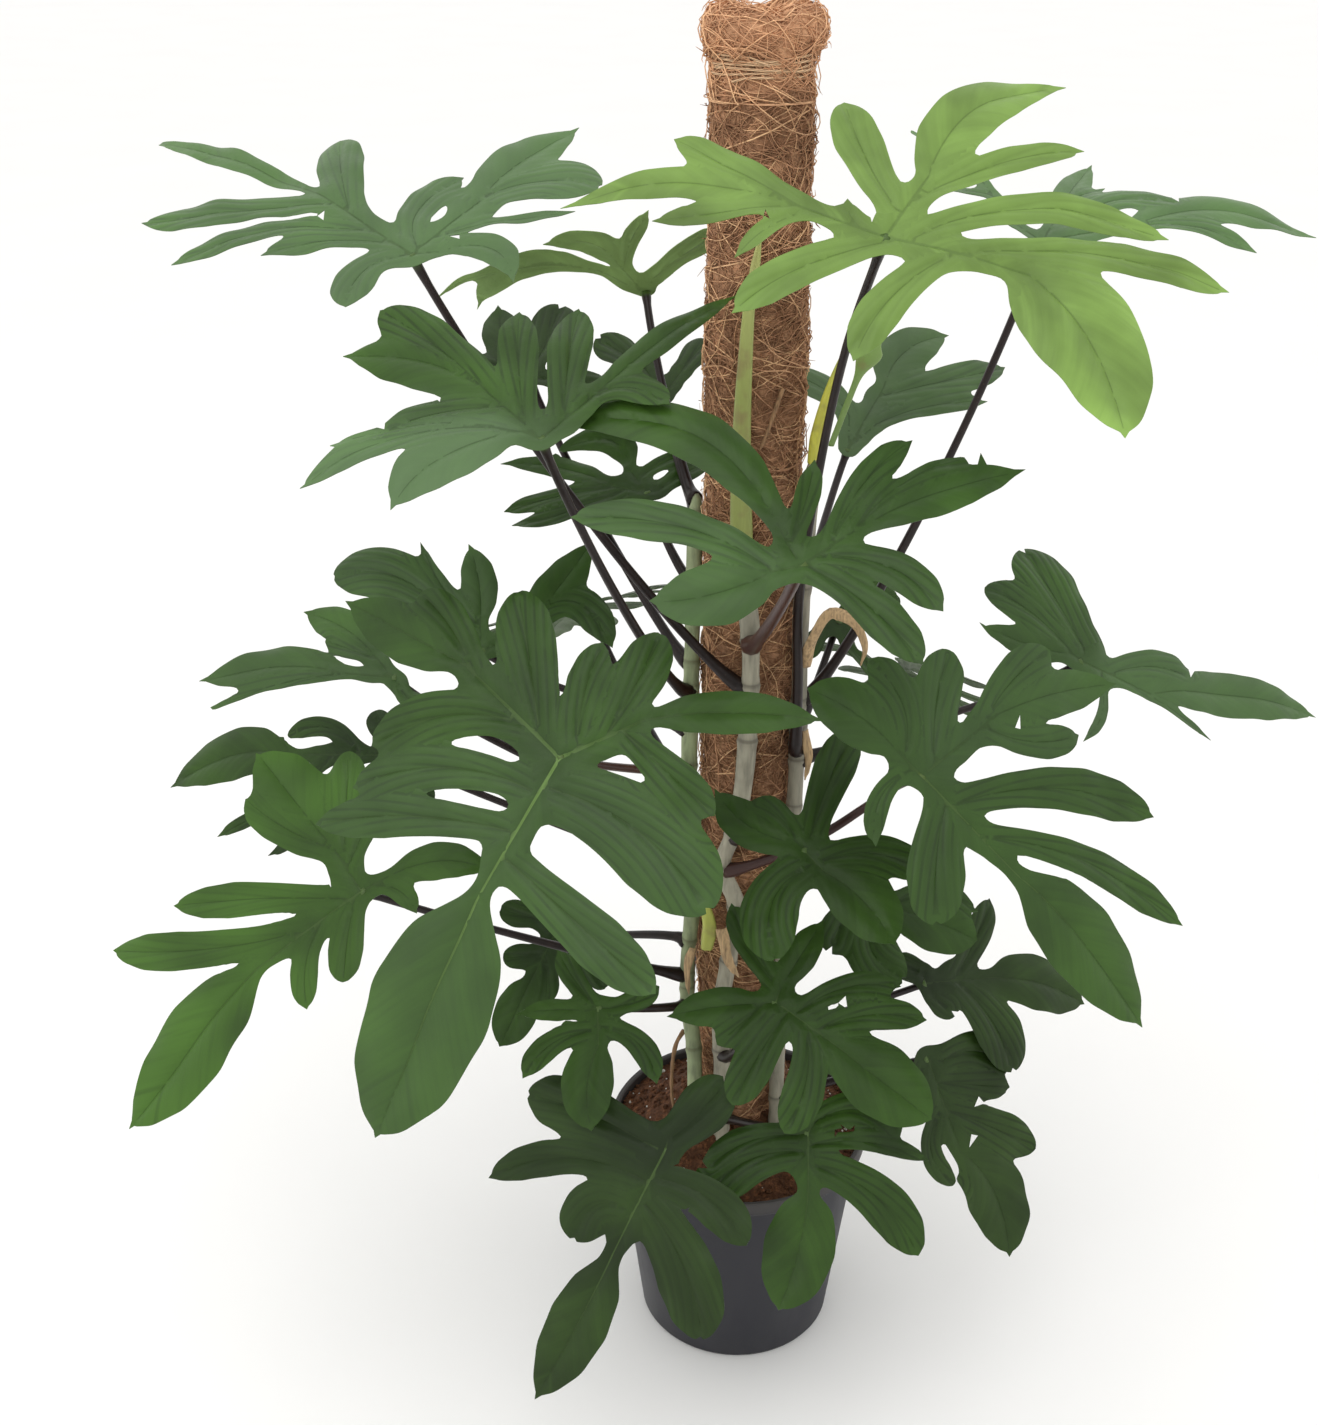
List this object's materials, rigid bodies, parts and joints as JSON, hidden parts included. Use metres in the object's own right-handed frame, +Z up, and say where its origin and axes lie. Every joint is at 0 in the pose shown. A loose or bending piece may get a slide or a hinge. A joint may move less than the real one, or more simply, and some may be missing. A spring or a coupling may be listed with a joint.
{
  "type": "potted philodendron pedatum",
  "caption": "Climbing house plant with deeply lobed leaves on long petioles, tied to an upright coir pole in a plain round plastic pot.",
  "frame": {"origin": "centre of the pot's flat underside, on the surface it stands on", "axes": "+Z up along the pole; -Y to the front, the side the picture shows; +X to the right of that view"},
  "size_m": [1.0441, 0.6666, 1.195],
  "materials": {
    "slate_plastic": "thin moulded nursery plastic, dark slate grey, satin",
    "peat": "loose damp peat and coir crumb with white perlite grains",
    "coir": "coarse coconut fibre, orange brown, matt and hairy",
    "stake": "plain round softwood stake, hidden in the wrap",
    "twine": "twisted coir twine, pale brown",
    "grey_stem": "dry grey green stem skin with pale node rings",
    "green_stem": "fresh waxy shoot, yellow green",
    "dry_sheath": "dried papery leaf sheath, pale tan",
    "root": "thin dry aerial root, brown",
    "young_leaf": "young leaf, bright green, waxy satin",
    "leaf": "grown leaf, deep green, waxy satin, on a dark maroon petiole",
    "old_leaf": "old leaf, darkest green, waxy satin, on a dark maroon petiole"
  },
  "bodies": {
    "root": {"pot": "slate_plastic", "soil": "peat", "pole_stake": "stake", "coir_wrap": "coir", "pole_twine": "twine", "vine_front": "grey_stem", "vine_right": "grey_stem", "vine_left": "grey_stem", "shoot_front": "green_stem", "shoot_right": "green_stem", "shoot_left": "green_stem", "rolled_leaf": "young_leaf", "dry_sheath_1": "dry_sheath", "dry_sheath_2": "dry_sheath", "dry_sheath_3": "dry_sheath", "dry_sheath_4": "dry_sheath", "aerial_root_1": "root", "aerial_root_2": "root", "leaf_01": "young_leaf", "leaf_02": "leaf", "leaf_03": "leaf", "leaf_04": "young_leaf", "leaf_05": "leaf", "leaf_06": "old_leaf", "leaf_07": "old_leaf", "leaf_08": "leaf", "leaf_09": "old_leaf", "leaf_10": "leaf", "leaf_11": "leaf", "leaf_12": "leaf", "leaf_13": "leaf", "leaf_14": "leaf", "leaf_15": "leaf", "leaf_16": "leaf", "leaf_17": "leaf", "leaf_18": "leaf", "leaf_19": "leaf", "leaf_20": "leaf", "leaf_21": "leaf", "leaf_22": "leaf", "leaf_23": "leaf", "leaf_24": "old_leaf", "leaf_25": "old_leaf", "leaf_26": "leaf", "leaf_27": "old_leaf", "leaf_28": "leaf", "leaf_29": "leaf", "leaf_30": "old_leaf"}
  },
  "joints": []
}
